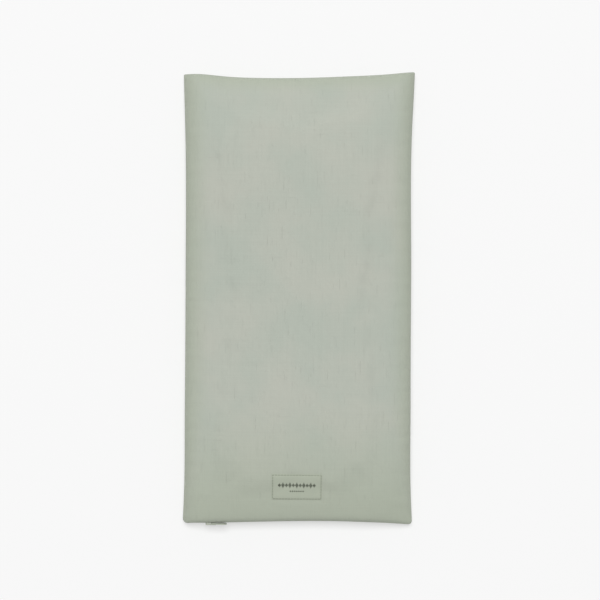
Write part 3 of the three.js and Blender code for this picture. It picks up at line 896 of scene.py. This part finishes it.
cover_front = panel("cover_front_cloth", cover, 1, 0.22, 1.15, label_dent)
cover_back = panel("cover_back_cloth", cover, -1, 0.22, 1.25)
finish_piece(cover_front, sage_cotton, ["cover_front_panel"])
finish_piece(cover_back, sage_cotton, ["cover_back_panel"])

SEAM_STITCH = 2.6
sewn = seam_path(cover, 0.2, (ZIP_RIGHT + 1.5, -HALF_LENGTH), (ZIP_LEFT - 1.5, -HALF_LENGTH))
seam_row = stitches(sewn, SEAM_STITCH, 0.7, 0.13, outward_from(cover), 0.3).mesh("cover_seam_stitches")
finish_piece(seam_row, sage_thread, ["cover_seam_thread"])


# ---------------------------------------------------------------- front label

LABEL_THICKNESS = 0.38
STITCH_INSET = 0.42


def on_cover(x, y, above):
    """Points on the front panel, raised by above."""
    nx, ny = nominal_place(cover_place, x, y)
    points = face_at(cover, 1, 0, nx, ny)
    points[..., 2] += above - label_dent(points[..., 0], points[..., 1])
    return points


def pad_shape(us, vs, thickness, rim):
    """Heights of a flat patch's top over its grid: rounded off over rim, drawn down along its stitches."""
    u, v = np.meshgrid(us, vs)
    inset = np.minimum(us[-1] - np.abs(u), vs[-1] - np.abs(v))
    rounded = np.sqrt(np.clip(1 - (1 - np.minimum(inset / rim, 1)) ** 2, 0, 1))
    drawn = 0.1 * np.exp(-((inset - STITCH_INSET) / 0.35) ** 2)
    puff = 0.07 * np.clip((inset - 1) / 3, 0, 1)
    return u, v, thickness * (0.35 + 0.65 * rounded) - drawn + puff


def make_label():
    us = spaced(LABEL_HALF[0], 0.08, 0.42)
    vs = spaced(LABEL_HALF[1], 0.08, 0.42)
    u, v, top = pad_shape(us, vs, LABEL_THICKNESS, 0.3)
    x, y = label_to_pillow(u.ravel(), v.ravel())
    upper = on_cover(x, y, 0.03 + top.ravel())
    lower = on_cover(x, y, 0.03)
    rows, columns = len(vs), len(us)
    quads = grid_faces(rows, columns)
    border = grid_border(rows, columns)
    count = rows * columns
    faces = np.concatenate([quads, quads[:, ::-1] + count, strip_faces(border, border + count)])
    flat = np.stack([u.ravel(), v.ravel()], axis=1)
    return make_mesh("label_cloth", np.concatenate([upper, lower]), faces, np.concatenate([flat, flat]))


def label_frame_path(inset):
    """Once round the label, inset from its edge, lying on its top."""
    hu, hv = LABEL_HALF[0] - inset, LABEL_HALF[1] - inset
    corners = [(-hu, -hv), (hu, -hv), (hu, hv), (-hu, hv), (-hu, -hv)]
    u = np.concatenate([np.linspace(a[0], b[0], 40) for a, b in zip(corners, corners[1:])])
    v = np.concatenate([np.linspace(a[1], b[1], 40) for a, b in zip(corners, corners[1:])])
    x, y = label_to_pillow(u, v)
    return on_cover(x, y, LABEL_THICKNESS - 0.02)


def upward(points):
    return np.broadcast_to(np.array([0.0, 0.0, 1.0]), points.shape)


def make_mark():
    """A generic woven motif: a row of small lozenges over a short row of dots."""
    row = Parts()

    def satin_bar(u, v, half, radius):
        us = np.array([u, u])
        vs = np.array([v - half, v + half])
        x, y = label_to_pillow(np.linspace(*us, 7), np.linspace(*vs, 7))
        share = np.linspace(-1, 1, 7)
        height = LABEL_THICKNESS + 0.06 - 0.07 * share ** 4
        path = on_cover(x, y, height)
        swell = radius * np.sqrt(np.clip(1 - share ** 6, 0.05, 1))
        row.add(*tube(path, swell, 6, (0, 0, 1)))

    bar = 0.3
    for k in range(-5, 6):
        middle = k * 1.72
        tall = 1.85 if k % 2 == 0 else 1.25
        for step in (-2, -1, 0, 1, 2):
            satin_bar(middle + step * bar, 0.95, max(0.3, tall * (1 - abs(step) / 3)), 0.15)
    for k in range(-3, 4):
        for step in (-1, 0, 1):
            satin_bar(k * 1.05 + step * 0.24, -2.1, 0.52 - 0.18 * abs(step), 0.13)
    return row.mesh("label_mark")


label = finish_piece(make_label(), label_weave, ["front_label"])
label_row = stitches(label_frame_path(STITCH_INSET), 1.5, 0.2, 0.12, upward, 0.12).mesh("label_stitches")
finish_piece(label_row, label_thread, ["front_label_stitching"])
mark = finish_piece(make_mark(), mark_thread, [])


# ---------------------------------------------------------------- strips of cloth: zip tapes, care label

def strip(name, sections, side=1):
    """A closed strip from a list of closed sections with the same number of points each."""
    sections = np.asarray(sections)
    count, around = sections.shape[:2]
    index = np.arange(count * around).reshape(count, around)
    faces = []
    for a, b in zip(index, index[1:]):
        faces.extend(np.stack([a, np.roll(a, -1), np.roll(b, -1), b], axis=1))
    caps = [index[0][::-1], index[-1]]
    length = np.linalg.norm(np.diff(sections, axis=1, append=sections[:, :1]), axis=2)
    v = np.concatenate([np.zeros((count, 1)), np.cumsum(length, axis=1)[:, :-1]], axis=1)
    u = np.broadcast_to(np.arange(count)[:, None], v.shape) * np.linalg.norm(sections[1, 0] - sections[0, 0])
    cloth = np.stack([u.ravel(), v.ravel()], axis=1)
    every = [*faces, *caps]
    if side < 0:
        every = [f[::-1] for f in every]
    return make_mesh(name, sections.reshape(-1, 3), every, cloth, 50)


TAPE_THICKNESS = 0.3
TAPE_WIDTH = 8
TAPE_OUTER = 2 * cover.cloth + 2 * AIR
TAPE_INNER = TAPE_OUTER + TAPE_THICKNESS
tape_xs = np.linspace(ZIP_LEFT, ZIP_RIGHT, 100)


def zip_point(x, depth, height):
    px, py = even_place(x, np.full_like(x, depth - HALF_LENGTH))
    return np.stack([px, py, SEAM_HEIGHT + height * np.ones_like(x)], axis=-1)


def zip_face(side, depth, x, run):
    y = np.full_like(x, depth + run - HALF_LENGTH)
    made = face_point(cover, side, depth, x, y, run)
    px, py = even_place(x, y)
    made[..., 0], made[..., 1] = px, py
    return made


def zip_tape_piece(name, side):
    runs = [0.6, 1.2, 1.8, 3, 4.5, 6.2, TAPE_WIDTH]
    low, high = side * CAD_GAP / 2, side * (CAD_GAP / 2 + TAPE_THICKNESS)
    end = COIL_DEPTH - AIR
    flat_depths = np.linspace(TAPE_OUTER, end, 6)
    rows = [zip_point(tape_xs, d, low) for d in flat_depths]
    rows += [zip_point(tape_xs, end, high), zip_point(tape_xs, (end + TAPE_INNER) / 2, high)]
    rows += [zip_point(tape_xs, TAPE_INNER, high)]
    rows += [zip_face(side, TAPE_INNER, tape_xs, r) for r in runs]
    rows += [zip_face(side, TAPE_OUTER, tape_xs, r) for r in reversed(runs)]
    return strip(name, np.stack(rows, axis=1), side)


for side, word in ((1, "front"), (-1, "back")):
    tape = zip_tape_piece(f"tape_{word}", side)
    finish_piece(tape, zip_tape, [f"zip_tape_{word}"])
    stitch_depth = box_mm(f"zip_stitching_{word}")[0][1] - ZIP_END_Y
    far = TAPE_INNER + AIR * 0.8
    line = zip_face(side, far, np.linspace(ZIP_LEFT + 1, ZIP_RIGHT - 1, 200), stitch_depth + 0.3 - far)
    inward = (lambda points, side=side: np.broadcast_to(np.array([0.0, 0.0, -side]), points.shape))
    row = stitches(line, 2.4, 0.5, 0.15, inward, 0.1).mesh(f"tape_stitches_{word}")
    finish_piece(row, sage_thread, [f"zip_stitching_{word}"])

care_box = box_mm("care_label")
CARE_REACH = 9
CARE_THICKNESS = 0.25


def make_care_label():
    """A strip caught in the -X seam that lies over the inner bag."""
    half = CARE_THICKNESS / 2
    caught = cover.cloth * 2 + 0.1
    bend = bag.inset - AIR - CARE_THICKNESS - 0.2
    runs = [0, 0.6, 1.2, 1.8, 3, 4.5, 6, 7.5, CARE_REACH]
    ys = np.linspace(care_box[0][1], care_box[1][1], 24)
    x_of = lambda inset: np.full_like(ys, inset - HALF_WIDTH)

    def level(inset, height):
        px, py = even_place(x_of(inset), ys)
        return np.stack([px, py, seam_level(x_of(inset), ys) + height], axis=-1)

    def over(depth, run):
        return face_point(bag, 1, depth, x_of(bag.inset + depth + run), ys, run, 0)

    rows = [level(d, half) for d in np.linspace(caught, bend, 6)]
    rows += [over(-AIR - CARE_THICKNESS, r) for r in runs]
    rows += [over(-AIR, r) for r in reversed(runs)]
    rows += [level(d, -half) for d in np.linspace(bend + CARE_THICKNESS, caught, 6)]
    return strip("care_label_ribbon", np.stack(rows, axis=1))


care = finish_piece(make_care_label(), care_satin, ["care_label"])


# ---------------------------------------------------------------- zip chain

FILAMENT = 0.2
PITCH = 1.3


def zip_coil_piece(name, box, phase):
    """A wound filament with its core cord."""
    low, high = box
    middle, half = (low + high) / 2, (high - low) / 2 - FILAMENT
    turns = (high[0] - low[0] - 2 * FILAMENT) / PITCH
    turn = np.linspace(0, turns * 2 * math.pi, round(turns * 18))
    squared = lambda wave: np.sign(wave) * np.abs(wave) ** 0.7
    path = np.stack([
        low[0] + FILAMENT + PITCH * turn / (2 * math.pi),
        middle[1] + half[1] * squared(np.cos(turn + phase)),
        middle[2] + half[2] * squared(np.sin(turn + phase)),
    ], axis=1)
    chain = Parts()
    chain.add(*tube(path, FILAMENT, 7, (1, 0, 0)))
    cord = np.stack([
        np.linspace(low[0] + 0.1, high[0] - 0.1, 60),
        np.full(60, middle[1]),
        np.full(60, middle[2]),
    ], axis=1)
    chain.add(*tube(cord, 0.22, 8, (0, 0, 1)))
    return chain.mesh(name)


for word, box, phase in (("front", COIL_FRONT_BOX, 0.0), ("back", COIL_BACK_BOX, math.pi)):
    coil = zip_coil_piece(f"coil_{word}", box, phase)
    finish_piece(coil, zip_nylon, [f"zip_coil_{word}"])


def bevelled(name, node, width, segments=3):
    """A CAD node's shape with its edges rounded over."""
    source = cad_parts[node]
    mesh = bpy.data.meshes.new(name)
    work = bmesh.new()
    work.from_mesh(source.data)
    bmesh.ops.remove_doubles(work, verts=work.verts, dist=1e-7)
    bmesh.ops.dissolve_limit(work, angle_limit=math.radians(1), verts=work.verts, edges=work.edges)
    sharp = [e for e in work.edges if len(e.link_faces) == 2 and e.calc_face_angle(0) > math.radians(28)]
    bmesh.ops.bevel(
        work, geom=sharp, offset=width * MM, segments=segments, profile=0.5,
        affect="EDGES", clamp_overlap=True,
    )
    bmesh.ops.dissolve_degenerate(work, dist=2e-6, edges=work.edges)
    work.to_mesh(mesh)
    work.free()
    mesh.validate()
    mesh.shade_smooth()
    mesh.set_sharp_from_angle(angle=math.radians(40))
    made = bpy.data.objects.new(name, mesh)
    bpy.context.scene.collection.objects.link(made)
    return made


for name, node in (("stop_closed_end", "zip_top_stop"), ("stop_open_end", "zip_bottom_stop")):
    finish_piece(bevelled(name, node, 0.2), zip_nylon, [node])
slider = bevelled("slider_body", "zip_slider", 0.09)
finish_piece(slider, slider_enamel, ["zip_slider"], "slider")
pull = bevelled("pull_tab", "zip_pull", 0.1)
finish_piece(pull, slider_enamel, ["zip_pull"], "pull")


# ---------------------------------------------------------------- inner bag and seeds

bag_front = panel("inner_bag_front_cloth", bag, 1, 0.35, 2.0)
bag_back = panel("inner_bag_back_cloth", bag, -1, 0.35, 2.0)
finish_piece(bag_front, calico, ["inner_bag_front_panel"])
finish_piece(bag_back, calico, ["inner_bag_back_panel"])

CLOSING_HALF = 30
gap_right, gap_left = (CLOSING_HALF, bag.half_y), (-CLOSING_HALF, bag.half_y)
bag_sewn = seam_path(bag, 0.2, gap_left, gap_right)
bag_row = stitches(bag_sewn, 3.0, 0.7, 0.13, outward_from(bag), 0.25).mesh("inner_bag_seam_stitches")
finish_piece(bag_row, calico_thread, ["inner_bag_seam_thread"])
bag_closed = seam_path(bag, 0.2, gap_right, gap_left)
closing_row = stitches(bag_closed, 2.2, 0.5, 0.13, outward_from(bag), 0.25).mesh("inner_bag_closing_stitches")
finish_piece(closing_row, calico_thread, ["inner_bag_closing_thread"])

SEED_LONG, SEED_WIDE, SEED_HIGH = 2.2, 1.15, 0.45


def seed_heights(x, y, columns_x, rows_y, rng):
    """The tops of flaxseeds that lie every way on the fill, over a grid of places."""
    height = np.zeros_like(x)
    half_x, half_y = columns_x[-1], rows_y[-1]
    count = int(4 * half_x * half_y / (SEED_LONG * SEED_WIDE * 2.1))
    places = rng.uniform((-half_x, -half_y), (half_x, half_y), (count, 2))
    turns = rng.uniform(0, math.pi, count)
    lifts = rng.uniform(0.3, 1, count)
    for (cx, cy), turn, lift in zip(places, turns, lifts):
        i = slice(*np.searchsorted(columns_x, (cx - SEED_LONG, cx + SEED_LONG)))
        j = slice(*np.searchsorted(rows_y, (cy - SEED_LONG, cy + SEED_LONG)))
        dx, dy = x[j, i] - cx, y[j, i] - cy
        u = (dx * math.cos(turn) + dy * math.sin(turn)) / SEED_LONG
        v = (dy * math.cos(turn) - dx * math.sin(turn)) / SEED_WIDE
        bump = SEED_HIGH * lift * np.sqrt(np.clip(1 - u ** 2 - v ** 2, 0, 1))
        height[j, i] = np.maximum(height[j, i], bump)
    return height


def make_fill():
    """The seeds as one heap, up to the bag's allowances, with their own shapes on its surface."""
    depth = 2 * bag.cloth + 3 * AIR
    half_x, half_y = bag.half_x - depth, bag.half_y - depth
    xs, ys = spaced(half_x, 0.5, 0.85), spaced(half_y, 0.5, 0.85)
    x, y = np.meshgrid(xs, ys)
    rng = np.random.RandomState(5)
    rows, columns = len(ys), len(xs)
    border = grid_border(rows, columns)
    run = run_in(x, y, half_x, half_y)
    run.ravel()[border] = 0
    faces = []
    for side in (1, -1):
        made = face_point(bag, side, depth, x, y, run, 0)
        sunk = (SEED_HIGH - seed_heights(x, y, xs, ys, rng)) * (1 - np.exp(-run / 1.5))
        made[..., 2] -= side * sunk
        faces.append(made.reshape(-1, 3))
    count = rows * columns
    quads = grid_faces(rows, columns)
    every = np.concatenate([quads, quads[:, ::-1] + count, strip_faces(border, border + count)])
    return make_mesh("flaxseed_heap", np.concatenate(faces), every)


fill = finish_piece(make_fill(), flaxseed, ["flaxseed_fill"])


# ---------------------------------------------------------------- floor, light, camera

def plain(name, colour, roughness, glow):
    """A lit studio surface: part of its brightness is its own, as on a light table, so shadows stay soft."""
    look = Look(name, roughness, Specular_IOR_Level=0.1, Emission_Color=(1, 1, 1, 1), Emission_Strength=glow)
    grain = look.noise(look.place(), 60, 2)
    look.colour(look.shade(look.blend(grain, colour, colour), look.math("MULTIPLY_ADD", grain, 0.006, 0.997)))
    return look.material


FLOOR_HALF = 4000
FLOOR_DROP = 0.05
FLOOR_GLOW = 0.45
turns = ((-1, -1), (1, -1), (1, 1), (-1, 1))
floor_corners = [(sx * FLOOR_HALF, sy * FLOOR_HALF, -FLOOR_DROP) for sx, sy in turns]
floor = make_mesh("floor", floor_corners, [(0, 1, 2, 3)])
floor.data.materials.append(plain("pale_floor", linear(181, 181, 181), 0.9, FLOOR_GLOW))

ROOM_LIGHT = 0.38
world = bpy.data.worlds.new("studio")
world.use_nodes = True
world.node_tree.nodes["Background"].inputs["Color"].default_value = (1, 1, 1, 1)
world.node_tree.nodes["Background"].inputs["Strength"].default_value = ROOM_LIGHT
bpy.context.scene.world = world


def soft_light(name, place, size, energy):
    """A square softbox that faces the pillow's middle."""
    data = bpy.data.lights.new(name, "AREA")
    data.shape = "SQUARE"
    data.size = size
    data.energy = energy
    made = bpy.data.objects.new(name, data)
    made.location = place
    made.rotation_euler = (-Vector(place)).to_track_quat("-Z", "Y").to_euler()
    bpy.context.scene.collection.objects.link(made)
    return made


KEY_PLACE = (-0.12, 2.2, 6.4)
KEY_SIZE = 3.4
KEY_ENERGY = 354
soft_light("key", KEY_PLACE, KEY_SIZE, KEY_ENERGY)

LENS = 100
SENSOR = 36
VIEW_WIDTH = 300.6  # what the picture spans at the seam's height
camera_data = bpy.data.cameras.new("camera")
camera_data.lens = LENS
camera_data.sensor_width = SENSOR
camera = bpy.data.objects.new("camera", camera_data)
camera.location = (1.0 * MM, -0.5 * MM, (SEAM_HEIGHT + VIEW_WIDTH * LENS / SENSOR) * MM)
bpy.context.scene.collection.objects.link(camera)
bpy.context.scene.camera = camera
bpy.context.scene.view_settings.view_transform = "Standard"
